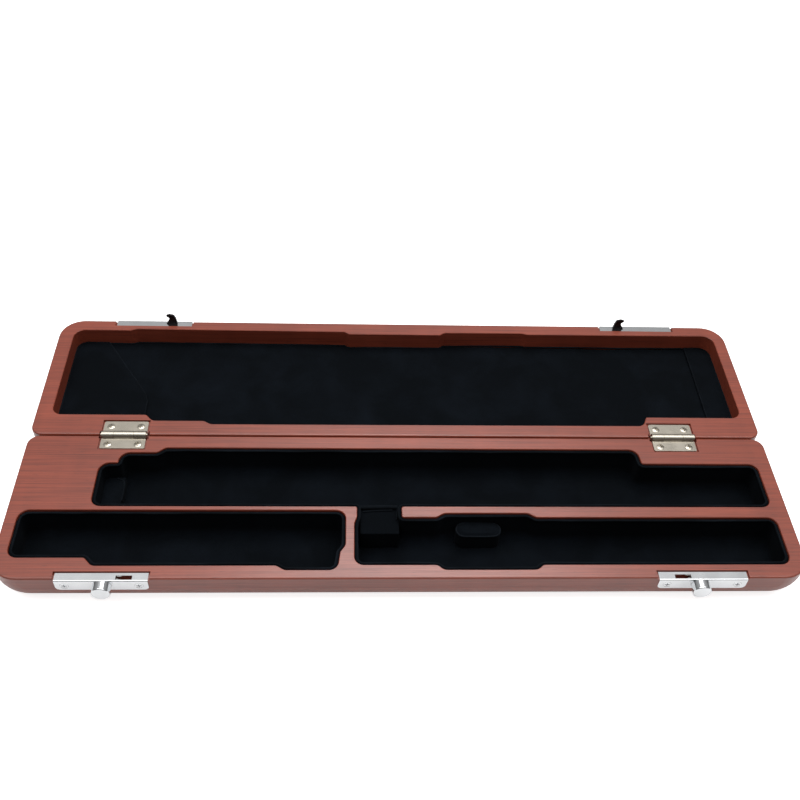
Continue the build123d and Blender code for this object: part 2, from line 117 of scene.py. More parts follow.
def add_node(
    tree: bpy.types.NodeTree,
    kind: str,
    inputs: dict[str | int, object] | None = None,
    stops: tuple[tuple[float, Colour], ...] = (),
    **settings: object,
) -> bpy.types.Node:
    """Adds a node to a tree, with its settings, its input values and its links.

    Args:
        tree: The tree that gets the node.
        kind: The node's type name.
        inputs: Values or output sockets, by the input's identifier, name or number.
        stops: The places and colours of a colour ramp's stops, in order.
        settings: The node's own properties.

    Returns:
        The new node.
    """
    made = tree.nodes.new(kind)
    for name, value in settings.items():
        setattr(made, name, value)
    for key, value in (inputs or {}).items():
        by_identifier = [s for s in made.inputs if s.identifier == key]
        socket = by_identifier[0] if by_identifier else made.inputs[key]
        if isinstance(value, bpy.types.NodeSocket):
            tree.links.new(value, socket)
        else:
            socket.default_value = value
    for number, (place, colour) in enumerate(stops):
        elements = made.color_ramp.elements
        stop = elements[number] if number < 2 else elements.new(place)
        stop.position = place
        stop.color = colour
    return made


def output(node: bpy.types.Node, key: str) -> bpy.types.NodeSocket:
    """The output socket with that identifier."""
    return next(socket for socket in node.outputs if socket.identifier == key)


def new_material(name: str) -> tuple[bpy.types.Material, bpy.types.NodeTree]:
    """Makes an empty node material and returns it with its tree."""
    material = bpy.data.materials.new(name)
    material.use_nodes = True
    material.node_tree.nodes.clear()
    return material, material.node_tree


def grey(level: float) -> Colour:
    """A linear grey."""
    return (level, level, level, 1.0)


def even_noise(
    tree: bpy.types.NodeTree,
    size_mm: float,
    detail: float,
    roughness: float = 0.5,
    distortion: float = 0.0,
) -> bpy.types.NodeSocket:
    """Adds noise that is the same in every direction.

    Args:
        tree: The tree that gets the nodes.
        size_mm: How wide its patches are.
        detail: How many finer layers it has.
        roughness: How strong the finer layers are.
        distortion: How much its patches are pulled about.

    Returns:
        The noise, from 0 to 1.
    """
    inputs = {
        "Vector": add_node(tree, "ShaderNodeTexCoord").outputs["Object"],
        "Scale": 1 / (size_mm * MM),
        "Detail": detail,
        "Roughness": roughness,
        "Distortion": distortion,
    }
    return add_node(tree, "ShaderNodeTexNoise", inputs).outputs["Fac"]


def drawn_noise(
    tree: bpy.types.NodeTree, size_mm: tuple[float, float], detail: float, roughness: float = 0.5
) -> bpy.types.NodeSocket:
    """Adds noise that is drawn out along X.

    Args:
        tree: The tree that gets the nodes.
        size_mm: How long and how wide its patches are.
        detail: How many finer layers it has.
        roughness: How strong the finer layers are.

    Returns:
        The noise, from 0 to 1.
    """
    along, across = size_mm
    place = add_node(tree, "ShaderNodeTexCoord").outputs["Object"]
    scale = (1 / (along * MM), 1 / (across * MM), 1 / (across * MM))
    mapped = add_node(tree, "ShaderNodeMapping", {"Vector": place, "Scale": scale})
    inputs = {"Vector": mapped.outputs[0], "Scale": 1.0, "Detail": detail, "Roughness": roughness}
    return add_node(tree, "ShaderNodeTexNoise", inputs).outputs["Fac"]


def ranged(
    tree: bpy.types.NodeTree,
    value: bpy.types.NodeSocket,
    given: tuple[float, float],
    wanted: tuple[float, float],
) -> bpy.types.NodeSocket:
    """Stretches one range of a value onto another, held at both ends.

    Args:
        tree: The tree that gets the node.
        value: The value.
        given: Two levels of the value.
        wanted: What these levels become.

    Returns:
        The stretched value.
    """
    inputs = {
        "Value": value,
        "From Min": given[0],
        "From Max": given[1],
        "To Min": wanted[0],
        "To Max": wanted[1],
    }
    return add_node(tree, "ShaderNodeMapRange", inputs).outputs[0]


def blended(
    tree: bpy.types.NodeTree,
    first: bpy.types.NodeSocket | Colour,
    second: bpy.types.NodeSocket | Colour,
    share: bpy.types.NodeSocket | float,
    blend: str = "MIX",
) -> bpy.types.NodeSocket:
    """Blends two colours.

    Args:
        tree: The tree that gets the node.
        first: The colour underneath.
        second: The colour laid on it.
        share: How much of the second shows.
        blend: How the second is laid on.

    Returns:
        The blended colour.
    """
    inputs = {"Factor_Float": share, "A_Color": first, "B_Color": second}
    mix = add_node(tree, "ShaderNodeMix", inputs, data_type="RGBA", blend_type=blend)
    return output(mix, "Result_Color")


def relief(
    tree: bpy.types.NodeTree,
    height: bpy.types.NodeSocket,
    depth_mm: float,
    strength: float,
    invert: bool = False,
) -> bpy.types.NodeSocket:
    """Adds a fine relief to a surface.

    Args:
        tree: The tree that gets the node.
        height: How high each place is.
        depth_mm: How deep the whole relief is.
        strength: How strongly it shows.
        invert: Whether high places lie low instead.

    Returns:
        The surface's new normal.
    """
    inputs = {"Strength": strength, "Distance": depth_mm * MM, "Height": height}
    return add_node(tree, "ShaderNodeBump", inputs, invert=invert).outputs[0]


def surface(tree: bpy.types.NodeTree, inputs: dict[str | int, object]) -> None:
    """Ends a material's tree in a shader with those inputs."""
    shader = add_node(tree, "ShaderNodeBsdfPrincipled", inputs)
    add_node(tree, "ShaderNodeOutputMaterial", {"Surface": shader.outputs[0]})


@dataclass(frozen=True)
class StainedMahogany:
    """Mahogany, planed, stained reddish brown and sprayed with satin lacquer.

    The stain leaves long streaks along the grain, with short dark pores, and the ribbon figure
    shows as soft bands across it. The lacquer gives a broad soft sheen.

    Attributes:
        light: The lightest streaks.
        middle: The streaks' middle tone.
        dark: The darkest streaks.
        pore: The tone of the pores.
        streak_mm: How long and wide the streaks are.
        pore_mm: How long and wide the pores are.
        ribbon_mm: How long and wide the figure's bands are.
        cloud_mm: How long and wide the broad changes of tone are.
        ribbon_tones: How far the bands darken and lighten the wood.
        cloud_tones: How far the broad changes do.
        pore_levels: Where a pore's rim begins and where its middle does.
        pore_share: How much of its own tone a pore's middle shows.
        roughness: The gloss over light and over dark streaks.
        coat: How much lacquer there is.
        coat_roughness: How soft its shine is.
        bump_mm: How deep the pores are.
    """

    light: str = "#914531"
    middle: str = "#823A28"
    dark: str = "#6C2F20"
    pore: str = "#4A2017"
    streak_mm: tuple[float, float] = (46.0, 0.8)
    pore_mm: tuple[float, float] = (6.0, 0.36)
    ribbon_mm: tuple[float, float] = (14.0, 60.0)
    cloud_mm: tuple[float, float] = (90.0, 26.0)
    ribbon_tones: tuple[float, float] = (0.93, 1.07)
    cloud_tones: tuple[float, float] = (0.9, 1.1)
    pore_levels: tuple[float, float] = (0.33, 0.26)
    pore_share: float = 0.55
    roughness: tuple[float, float] = (0.31, 0.39)
    coat: float = 0.45
    coat_roughness: float = 0.3
    bump_mm: float = 0.03

    def material(self) -> bpy.types.Material:
        """Builds the material.

        Returns:
            The wood, with its grain along X.
        """
        material, tree = new_material("stained_mahogany_satin_lacquer")
        streaks = drawn_noise(tree, self.streak_mm, 4.0, 0.6)
        pores = drawn_noise(tree, self.pore_mm, 1.0)
        ribbons = drawn_noise(tree, self.ribbon_mm, 2.0)
        clouds = drawn_noise(tree, self.cloud_mm, 3.0, 0.55)

        stops = ((0.28, linear(self.dark)), (0.72, linear(self.light)), (0.5, linear(self.middle)))
        tone = add_node(tree, "ShaderNodeValToRGB", {"Fac": streaks}, stops)
        figure = ranged(tree, ribbons, NOISE_SPREAD, self.ribbon_tones)
        cloud = ranged(tree, clouds, NOISE_SPREAD, self.cloud_tones)
        both = add_node(tree, "ShaderNodeMath", {0: figure, 1: cloud}, operation="MULTIPLY")
        shaded = blended(tree, tone.outputs["Color"], both.outputs[0], 1.0, "MULTIPLY")
        in_pore = ranged(tree, pores, self.pore_levels, (0.0, self.pore_share))
        surface(
            tree,
            {
                "Base Color": blended(tree, shaded, linear(self.pore), in_pore),
                "Roughness": ranged(tree, streaks, NOISE_SPREAD, self.roughness[::-1]),
                "Normal": relief(tree, in_pore, self.bump_mm, 0.5, invert=True),
                "IOR": 1.5,
                "Coat Weight": self.coat,
                "Coat Roughness": self.coat_roughness,
            },
        )
        return material


@dataclass(frozen=True)
class CutVelvet:
    """Cotton velvet with a short cut pile, dyed blue-black.

    It swallows light from above and turns paler where it curves away from the eye. Where handling
    has laid the pile another way, its changed sheen is painted into the tone as soft paler patches.

    Attributes:
        name: The material's name.
        deep: Its tone where the pile stands upright.
        brushed: Its tone where the pile lies over, made paler by painted sheen.
        sheen: How much paler its tips are at a low angle.
        sheen_tint: The tone of the tips.
        sheen_roughness: How far from a low angle they still show.
        nap_sheen_mm: How wide the patches of painted sheen are.
        tuft_mm: How wide the tufts are.
        tuft_tones: How far the tufts darken and lighten it.
        bump_mm: How deep the tufts are.
    """

    name: str
    deep: str
    brushed: str
    sheen: float
    sheen_tint: str = "#6E8499"
    sheen_roughness: float = 0.4
    nap_sheen_mm: float = 26.0
    tuft_mm: float = 0.55
    tuft_tones: tuple[float, float] = (0.7, 1.3)
    bump_mm: float = 0.12

    def material(self) -> bpy.types.Material:
        """Builds the material.

        Returns:
            The velvet.
        """
        material, tree = new_material(self.name)
        nap_sheen = even_noise(tree, self.nap_sheen_mm, 3.0, 0.55, 0.4)
        tuft = even_noise(tree, self.tuft_mm, 2.0)
        # Painted sheen: the tone runs from deep to the paler brushed tone across the noise patches
        stops = ((0.42, linear(self.deep)), (0.8, linear(self.brushed)))
        tone = add_node(tree, "ShaderNodeValToRGB", {"Fac": nap_sheen}, stops)
        fleck = ranged(tree, tuft, NOISE_SPREAD, self.tuft_tones)
        surface(
            tree,
            {
                "Base Color": blended(tree, tone.outputs["Color"], fleck, 1.0, "MULTIPLY"),
                "Roughness": 1.0,
                "Specular IOR Level": 0.1,
                "Sheen Weight": self.sheen,
                "Sheen Roughness": self.sheen_roughness,
                "Sheen Tint": linear(self.sheen_tint),
                "Normal": relief(tree, tuft, self.bump_mm, 0.6),
            },
        )
        return material


@dataclass(frozen=True)
class WorkedMetal:
    """A metal or a plating, with the fine marks that its making and handling leave.

    Brushed lines run along X. Smears dull the gloss a little in soft patches.

    Attributes:
        name: The material's name.
        tint: The metal's tone.
        roughness: Its gloss where it is brightest and where it is dullest.
        line_mm: How long and wide the brushed lines are.
        smear_mm: How wide the smears are.
        smear_tones: How far the smears darken and lighten it.
        bump_mm: How deep the brushed lines are.
    """

    name: str
    tint: str
    roughness: tuple[float, float]
    line_mm: tuple[float, float] = (12.0, 0.12)
    smear_mm: float = 9.0
    smear_tones: tuple[float, float] = (0.94, 1.03)
    bump_mm: float = 0.002

    def material(self) -> bpy.types.Material:
        """Builds the material.

        Returns:
            The metal.
        """
        material, tree = new_material(self.name)
        lines = drawn_noise(tree, self.line_mm, 2.0)
        smears = even_noise(tree, self.smear_mm, 3.0)
        halves = {"Factor_Float": 0.5, "A_Float": lines, "B_Float": smears}
        mixed = add_node(tree, "ShaderNodeMix", halves, data_type="FLOAT")
        shade = ranged(tree, smears, NOISE_SPREAD, self.smear_tones)
        surface(
            tree,
            {
                "Base Color": blended(tree, linear(self.tint), shade, 1.0, "MULTIPLY"),
                "Metallic": 1.0,
                "Roughness": ranged(
                    tree, output(mixed, "Result_Float"), MIXED_SPREAD, self.roughness
                ),
                "Normal": relief(tree, lines, self.bump_mm, 0.4),
            },
        )
        return material


@dataclass
class Finishes:
    """Every finish of the case, built once."""

    wood: bpy.types.Material
    velvet: bpy.types.Material
    # The paler velvet of the rolled edges and folds: painted sheen
    rubbed: bpy.types.Material
    nickel: bpy.types.Material
    chrome: bpy.types.Material
    steel: bpy.types.Material
    black: bpy.types.Material

    @classmethod
    def build(cls) -> "Finishes":
        """Builds all the materials and returns them."""
        return cls(
            wood=StainedMahogany().material(),
            # Velvet with its pile upright: nearly black, a little blue
            velvet=CutVelvet("blue_black_velvet", "#03060A", "#090E14", 0.015).material(),
            # The same velvet made paler for the rolled edges and folds: painted sheen, slate grey
            rubbed=CutVelvet("blue_black_velvet_rubbed", "#080C10", "#14191F", 0.05).material(),
            # Nickel plate over steel, tumbled: warm grey, softly shining
            nickel=WorkedMetal("nickel_plate_satin", "#BDB6A9", (0.26, 0.33)).material(),
            # Chrome plate, buffed: cool and nearly a mirror, with a faint haze
            chrome=WorkedMetal("chrome_plate_polished", "#DFE1E3", (0.10, 0.17)).material(),
            # Drawn steel, left bright
            steel=WorkedMetal("drawn_steel_bright", "#B9B7B2", (0.28, 0.42)).material(),
            # Steel, heat-blackened and oiled: nearly black
            black=WorkedMetal("blackened_steel_oiled", "#2C2829", (0.30, 0.44)).material(),
        )


def solid_copy(node: bpy.types.Object, name: str) -> bpy.types.Object:
    """Copies a CAD node's mesh into a new object, with its doubled corners merged.

    Args:
        node: The CAD node.
        name: The new object's name.

    Returns:
        The new object, at the origin.
    """
    shape = bmesh.new()
    shape.from_mesh(node.data)
    bmesh.ops.remove_doubles(shape, verts=shape.verts, dist=MERGE_MM * MM)
    mesh = bpy.data.meshes.new(name)
    shape.to_mesh(mesh)
    shape.free()
    made = bpy.data.objects.new(name, mesh)
    bpy.context.scene.collection.objects.link(made)
    return made


def settle(piece: bpy.types.Object) -> None:
    """Turns what a piece's modifiers make into its own plain mesh and removes them."""
    graph = bpy.context.evaluated_depsgraph_get()
    mesh = bpy.data.meshes.new_from_object(piece.evaluated_get(graph))
    piece.modifiers.clear()
    piece.data = mesh


def rim_loops(node: bpy.types.Object) -> list[list[Vector]]:
    """Finds the loops where a CAD node's flat top meets its sides.

    Args:
        node: The CAD node.

    Returns:
        Closed loops of points in order, the longest first.
    """
    shape = bmesh.new()
    shape.from_mesh(node.data)
    bmesh.ops.remove_doubles(shape, verts=shape.verts, dist=MERGE_MM * MM)
    top = max(v.co.z for v in shape.verts)
    near_top = FLAT_MM * MM

    def on_rim(edge: bmesh.types.BMEdge) -> bool:
        """Whether one face at the edge lies in the flat top and the other doesn't."""
        flat = [all(top - v.co.z < near_top for v in face.verts) for face in edge.link_faces]
        return len(flat) == 2 and flat[0] != flat[1]

    left = {edge for edge in shape.edges if on_rim(edge)}
    loops = []
    while left:
        edge = min(left, key=lambda e: e.index)
        left.remove(edge)
        first, vert = edge.verts
        loop = [first.co.copy(), vert.co.copy()]
        while True:
            following = [e for e in vert.link_edges if e in left]
            if not following:
                break
            left.remove(following[0])
            vert = following[0].other_vert(vert)
            if vert is first:
                break
            loop.append(vert.co.copy())
        loops.append(loop)
    shape.free()
    length = {id(p): sum((a - b).length for a, b in zip(p, p[1:] + p[:1])) for p in loops}
    return sorted(loops, key=lambda p: -length[id(p)])


def looseness(place: Vector, seed: int) -> float:
    """How loose a velvet edge is at a place, from 0 to about 1."""
    flat = Vector((place.x, place.y, 0)) / (LOOSE_WAVE_MM * MM)
    return max(0.0, LOOSE_MIDDLE + LOOSE_SWING * noise.noise(flat + Vector((0, 0, seed))))


@dataclass
class VelvetPiece:
    """A velvet-covered piece, made from the space that its firm solid fills.

    Attributes:
        node: The CAD node that it replaces.
        body: The body that it rides on.
        voxel: The grid that its skin is remade on.
        smoothing: How many times the skin is eased, which rounds its edges.
        crush: How far the padding wanders in and out.
        wave: How long the padding's waves are.
        curl: How far its outer edge lifts, where it is loose.
        fill: How full its padding is; not used.
        seed: Where its noise is read.
        fine_waves: How many of the padding's fine waves go on a broad one.
        fine_share: How high the fine waves are beside the broad ones.
        seed_step: How far apart the places are where two seeds are read.
        lift_reach: How far in from its edge a loose edge lifts.
        lift_step: How closely the edge is followed.
    """

    node: str
    body: Body
    voxel: float = 1.0
    smoothing: int = 4
    crush: float = 0.18
    wave: float = 15.0
    curl: float = 0.0
    fill: float = 0.5
    seed: int = 1
    fine_waves: int = 4
    fine_share: float = 0.3
    seed_step: Point = (37.0, 11.0, 23.0)
    lift_reach: float = 2.6
    lift_step: float = 1.0

    def wander(self, place: Vector) -> float:
        """How far the skin lies out of its plain place, in millimetres."""
        shifted = place / MM + Vector(self.seed_step) * self.seed
        broad = noise.noise(shifted / self.wave)
        fine = noise.noise(shifted / (self.wave / self.fine_waves))
        return self.crush * (broad + self.fine_share * fine)

    def lift_edge(self, mesh: bpy.types.Mesh, outline: list[Vector]) -> None:
        """Curls the outer edge of a flat piece up, more in some stretches than in others.

        Args:
            mesh: The piece's mesh.
            outline: The loop of its edge.
        """
        reach = self.lift_reach
        step = self.lift_step * MM
        points = []
        for a, b in zip(outline, outline[1:] + outline[:1]):
            count = max(1, round((b - a).length / step))
            points += [a.lerp(b, i / count) for i in range(count)]
        tree = kdtree.KDTree(len(points))
        for number, point in enumerate(points):
            tree.insert(Vector((point.x, point.y, 0)), number)
        tree.balance()
        for vert in mesh.vertices:
            away = tree.find(Vector((vert.co.x, vert.co.y, 0)))[2] / MM
            if away < reach:
                loose = looseness(vert.co, self.seed)
                vert.co.z += self.curl * MM * loose * (1 - away / reach) ** 2

    def build(self, nodes: Nodes, velvet: bpy.types.Material) -> bpy.types.Object:
        """Makes the piece in place of its CAD node.

        Args:
            nodes: The CAD nodes by name.
            velvet: The velvet.

        Returns:
            The piece.
        """
        source = nodes[self.node]
        piece = solid_copy(source, f"{self.node}_velvet")
        piece.data.materials.clear()
        remesh = piece.modifiers.new("skin", "REMESH")
        remesh.mode = "VOXEL"
        remesh.voxel_size = self.voxel * MM
        remesh.use_smooth_shade = True
        ease = piece.modifiers.new("ease", "SMOOTH")
        ease.factor = 0.5
        ease.iterations = self.smoothing
        settle(piece)
        mesh = piece.data
        if self.curl:
            self.lift_edge(mesh, rim_loops(source)[0])
        moves = [v.normal * self.wander(v.co) * MM for v in mesh.vertices]
        for vert, move in zip(mesh.vertices, moves):
            vert.co += move
        mesh.materials.append(velvet)
        mesh.shade_smooth()
        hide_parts(self.node)
        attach(piece, self.body.value)
        LOG.info("%s: %d faces", piece.name, len(mesh.polygons))
        return piece


class FoldedEdge:
    """The rolled edges and folds of velvet along their paths, all made by one node tree.

    Attributes:
        SPACING_MM: How far apart the points of a fold lie.
        WOBBLE_MM: How far a fold wanders off its path.
        WAVE_MM: How long its wanderings are.
        SECTION_POINTS: How many corners its round section has.
        FILL: How full its padding is.
    """

    SPACING_MM = 1.2
    WOBBLE_MM = 0.9
    WAVE_MM = 22.0
    SECTION_POINTS = 10
    FILL = 0.8

    def __init__(self, velvet: bpy.types.Material) -> None:
        """Builds the tree.

        Args:
            velvet: The velvet.
        """
        self.velvet = velvet
        self.tree = bpy.data.node_groups.new("folded_velvet_edge", "GeometryNodeTree")
        self.sockets: dict[str, str] = {}
        for name, kind in (
            ("Path", "NodeSocketGeometry"),
            ("Radius", "NodeSocketFloat"),
            ("Spacing", "NodeSocketFloat"),
            ("Wobble", "NodeSocketFloat"),
            ("Wave", "NodeSocketFloat"),
            ("Seed", "NodeSocketFloat"),
            ("Material", "NodeSocketMaterial"),
        ):
            socket = self.tree.interface.new_socket(name, in_out="INPUT", socket_type=kind)
            self.sockets[name] = socket.identifier
        self.tree.interface.new_socket(
            "Geometry", in_out="OUTPUT", socket_type="NodeSocketGeometry"
        )
        self.wire()

    def wire(self) -> None:
        """Adds the tree's nodes: path, wobble, round section, material."""
        tree = self.tree
        given = add_node(tree, "NodeGroupInput").outputs
        even = add_node(
            tree,
            "GeometryNodeResampleCurve",
            {"Curve": given["Path"], "Length": given["Spacing"]},
            mode="LENGTH",
        )
        place = add_node(tree, "GeometryNodeInputPosition")
        drawn = add_node(
            tree,
            "ShaderNodeTexNoise",
            {"Vector": place.outputs[0], "W": given["Seed"], "Scale": given["Wave"], "Detail": 2.0},
            noise_dimensions="4D",
        )
        centred = add_node(
            tree,
            "ShaderNodeVectorMath",
            {0: drawn.outputs["Color"], 1: (0.5, 0.5, 0.5)},
            operation="SUBTRACT",
        )
        scaled = add_node(
            tree,
            "ShaderNodeVectorMath",
            {0: centred.outputs[0], "Scale": given["Wobble"]},
            operation="SCALE",
        )
        moved = add_node(
            tree,
            "GeometryNodeSetPosition",
            {"Geometry": even.outputs[0], "Offset": scaled.outputs[0]},
        )
        section = add_node(
            tree,
            "GeometryNodeCurvePrimitiveCircle",
            {"Resolution": self.SECTION_POINTS, "Radius": given["Radius"]},
            mode="RADIUS",
        )
        tube = add_node(
            tree,
            "GeometryNodeCurveToMesh",
            {
                "Curve": moved.outputs[0],
                "Profile Curve": section.outputs["Curve"],
                "Fill Caps": True,
            },
        )
        smooth = add_node(tree, "GeometryNodeSetShadeSmooth", {"Geometry": tube.outputs[0]})
        real = add_node(tree, "GeometryNodeRealizeInstances", {"Geometry": smooth.outputs[0]})
        dressed = add_node(
            tree,
            "GeometryNodeSetMaterial",
            {"Geometry": real.outputs[0], "Material": given["Material"]},
        )
        add_node(tree, "NodeGroupOutput", {"Geometry": dressed.outputs[0]})

    def build(
        self,
        name: str,
        body: Body,
        paths: list[list[Vector]],
        closed: bool,
        radius: float,
        seed: int,
    ) -> bpy.types.Object:
        """Makes one piece of velvet fold along some paths.

        Args:
            name: The piece's name.
            body: The body that it rides on.
            paths: Points of each path, in metres.
            closed: Whether each path is a loop.
            radius: The fold's radius in millimetres.
            seed: Where its wobble is read.

        Returns:
            The piece.
        """
        curve = bpy.data.curves.new(name, "CURVE")
        curve.dimensions = "3D"
        for path in paths:
            kind = "POLY" if closed else "NURBS"
            spline = curve.splines.new(kind)
            spline.points.add(len(path) - 1)
            for point, place in zip(spline.points, path):
                point.co = (*place, 1.0)
            spline.use_cyclic_u = closed
            if not closed:
                spline.order_u = 3
                spline.use_endpoint_u = True
        route = bpy.data.objects.new(f"{name}_route", curve)
        bpy.context.scene.collection.objects.link(route)
        modifier = route.modifiers.new("fold", "NODES")
        modifier.node_group = self.tree
        values = {
            "Radius": radius * MM,
            "Spacing": self.SPACING_MM * MM,
            "Wobble": self.WOBBLE_MM * MM,
            "Wave": 1 / (self.WAVE_MM * MM),
            "Seed": float(seed),
            "Material": self.velvet,
        }
        for key, value in values.items():
            modifier[self.sockets[key]] = value
        graph = bpy.context.evaluated_depsgraph_get()
        mesh = bpy.data.meshes.new_from_object(route.evaluated_get(graph))
        bpy.data.objects.remove(route)
        piece = bpy.data.objects.new(name, mesh)
        bpy.context.scene.collection.objects.link(piece)
        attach(piece, body.value)
        LOG.info("%s: %d faces", piece.name, len(mesh.polygons))
        return piece


@dataclass(frozen=True)
class Roll:
    """A rolled edge of velvet along a loop of a CAD node's rim.

    Attributes:
        node: The CAD node whose rim it follows.
        body: The body that it rides on.
        loop: Which of the node's rim loops it follows, the longest being 0.
        radius: Its radius in millimetres.
        rise: How far its middle lies over the rim, in millimetres.
        curl: How far it lifts where the edge is loose, in millimetres.
    """

    node: str
    body: Body
    loop: int
    radius: float
    rise: float
    curl: float = 0.0


@dataclass
class Linings:
    """The velvet of both halves: linings, rests, panel, pads and their folds.

    Attributes:
        fold_radius: Radius of the smaller folds on the rests.
        roll_radius: Radius of the roll over the saddle's far end.
        panel_curl: How far the lid panel's edge lifts where it is loose.
        panel_seed: Where the panel's noise is read.
        ring_middle: Middle of the fold round the lip rest.
        ring_half: Half the length of its straight sides.
        ring_radius: Radius of its two round ends.
        ring_steps: How many steps each end takes.
        fold_seeds: Seed of the first fold, over all those of the rolled edges.
    """

    fold_radius: float = 0.42
    roll_radius: float = 1.0
    panel_curl: float = 1.1
    panel_seed: int = 6
    ring_middle: Point = (39.2, -60.3, -6.7)
    ring_half: float = 7.75
    ring_radius: float = 4.3
    ring_steps: int = 8
    fold_seeds: int = 20

    def pieces(self) -> list[VelvetPiece]:
        """The padded pieces of both halves."""
        curl, seed = self.panel_curl, self.panel_seed
        return [
            VelvetPiece("tray_lining", Body.BASE, voxel=1.1, seed=1),
            VelvetPiece("foot_lining", Body.BASE, voxel=1.1, seed=2),
            VelvetPiece(
                "tenon_rest", Body.BASE, voxel=0.6, smoothing=5, crush=0.25, wave=9.0, fill=0.7, seed=3
            ),
            VelvetPiece(
                "channel_saddle",
                Body.BASE,
                voxel=0.6,
                smoothing=5,
                crush=0.25,
                wave=9.0,
                fill=0.7,
                seed=4,
            ),
            VelvetPiece(
                "lip_rest", Body.BASE, voxel=0.5, smoothing=4, crush=0.15, wave=6.0, fill=0.8, seed=5
            ),
            VelvetPiece(
                "lid_panel",
                Body.LID,
                voxel=1.0,
                smoothing=2,
                crush=0.22,
                wave=22.0,
                curl=curl,
                seed=seed,
            ),
            VelvetPiece(
                "lid_left_pad", Body.LID, voxel=0.6, smoothing=2, crush=0.12, wave=18.0, seed=7
            ),
            VelvetPiece(
                "lid_right_pad", Body.LID, voxel=0.6, smoothing=2, crush=0.12, wave=18.0, seed=8
            ),
        ]

    def rolls(self) -> list[Roll]:
        """The rolled edges along the pieces' rims."""
        return [
            Roll("tray_lining", Body.BASE, loop=1, radius=0.55, rise=-0.55),
            Roll("foot_lining", Body.BASE, loop=1, radius=0.55, rise=-0.55),
            Roll("lid_panel", Body.LID, loop=0, radius=0.5, rise=-0.1, curl=self.panel_curl),
            Roll("lid_left_pad", Body.LID, loop=0, radius=0.4, rise=-0.15),
            Roll("lid_right_pad", Body.LID, loop=0, radius=0.4, rise=-0.15),
        ]

    def ring(self) -> list[Point]:
        """The fold round the lip rest: two half circles joined by straight sides."""
        turns = [math.pi * i / self.ring_steps for i in range(self.ring_steps + 1)]
        ends = [
            (self.ring_half + self.ring_radius * math.sin(a), self.ring_radius * math.cos(a))
            for a in turns
        ]
        middle_x, middle_y, height = self.ring_middle
        both = ends + [(-x, -y) for x, y in ends]
        return [(middle_x + x, middle_y + y, height) for x, y in both]

    def folds(self) -> dict[str, tuple[bool, float, list[list[Point]]]]:
        """The folds that lie on the rests, in millimetres from the middle of the hinge line.

        Returns:
            For each piece whether its paths are closed, its radius and its paths.
        """
        return {
            "saddle_roll": (
                False,
                self.roll_radius,
                [[(-24.6, -48.2, -3.3), (-14.0, -48.0, -3.1), (-4.4, -48.0, -3.3)]],
            ),
            "saddle_folds": (
                False,
                self.fold_radius,
                [
                    [(-22.8, -50.6, -4.0), (-14.6, -49.8, -3.9), (-7.0, -49.4, -4.0)],
                    [(-4.4, -49.0, -4.0), (-4.5, -52.0, -3.9), (-4.8, -55.5, -4.1)],
                ],
            ),
            "tenon_fold": (
                False,
                self.fold_radius,
                [
                    [
                        (-159.0, -22.6, -10.8),
                        (-156.4, -23.2, -10.8),
                        (-154.4, -25.8, -10.9),
                        (-154.2, -31.4, -11.0),
                        (-154.4, -38.0, -11.2),
                    ]
                ],
            ),
            "lip_rest_fold": (True, self.fold_radius, [self.ring()]),
        }

    def build(
        self, nodes: Nodes, velvet: bpy.types.Material, rubbed: bpy.types.Material
    ) -> None:
        """Makes all the velvet.

        Args:
            nodes: The CAD nodes by name.
            velvet: The velvet with its pile upright.
            rubbed: The velvet made paler by painted sheen, for the rolled edges and folds.
        """
        for piece in self.pieces():
            piece.build(nodes, velvet)
        # The rolled edges and folds get the paler velvet, whose pale tone is painted sheen
        edge = FoldedEdge(rubbed)
        for seed, roll in enumerate(self.rolls()):
            path = []
            for point in rim_loops(nodes[roll.node])[roll.loop]:
                lift = roll.rise + roll.curl * looseness(point, self.panel_seed)
                path.append(point + Vector((0, 0, lift * MM)))
            edge.build(f"{roll.node}_rolled_edge", roll.body, [path], True, roll.radius, seed)
        for seed, (name, fold) in enumerate(self.folds().items(), start=self.fold_seeds):
            closed, radius, paths = fold
            places = [[(Vector(point) + Vector(HINGE_MM)) * MM for point in path] for path in paths]
            edge.build(name, Body.BASE, places, closed, radius, seed)


@dataclass
class Hardware:
    """The plated and steel fittings, whose CAD shapes stay."""

    finishes: Finishes

    def build(self, nodes: Nodes) -> None:
        """Dresses every fitting.

        Args:
            nodes: The CAD nodes by name.
        """
        stems = {
            Slot.NICKEL: (
                "hinge_base_leaf",
                "hinge_lid_leaf",
                "hinge_pin",
                "hinge_base_screws",
                "hinge_lid_screws",
            ),
            Slot.CHROME: ("lock_plate", "lock_screws", "knob", "hook_plate", "hook_screws"),
            Slot.STEEL: ("bolt", "bolt_guide", "bolt_spring"),
            Slot.BLACK: ("hook",),
        }
        looks = {
            Slot.NICKEL: self.finishes.nickel,
            Slot.CHROME: self.finishes.chrome,
            Slot.STEEL: self.finishes.steel,
            Slot.BLACK: self.finishes.black,
        }
        for slot, names in stems.items():
            for stem in names:
                for side in SIDES:
                    dress(nodes[f"{stem}_{side}"], looks[slot])


def dress(node: bpy.types.Object, material: bpy.types.Material) -> None:
    """Gives a CAD node its material."""
    for place in node.material_slots:
        place.material = material
    LOG.info("%s: %s", node.name, material.name)


@dataclass
class Woodwork:
    """The two wooden halves, whose CAD shapes stay."""

    finishes: Finishes

    def build(self, nodes: Nodes) -> None:
        """Dresses both halves.

        Args:
            nodes: The CAD nodes by name.
        """
        for name in ("base_shell", "lid_shell"):
            dress(nodes[name], self.finishes.wood)


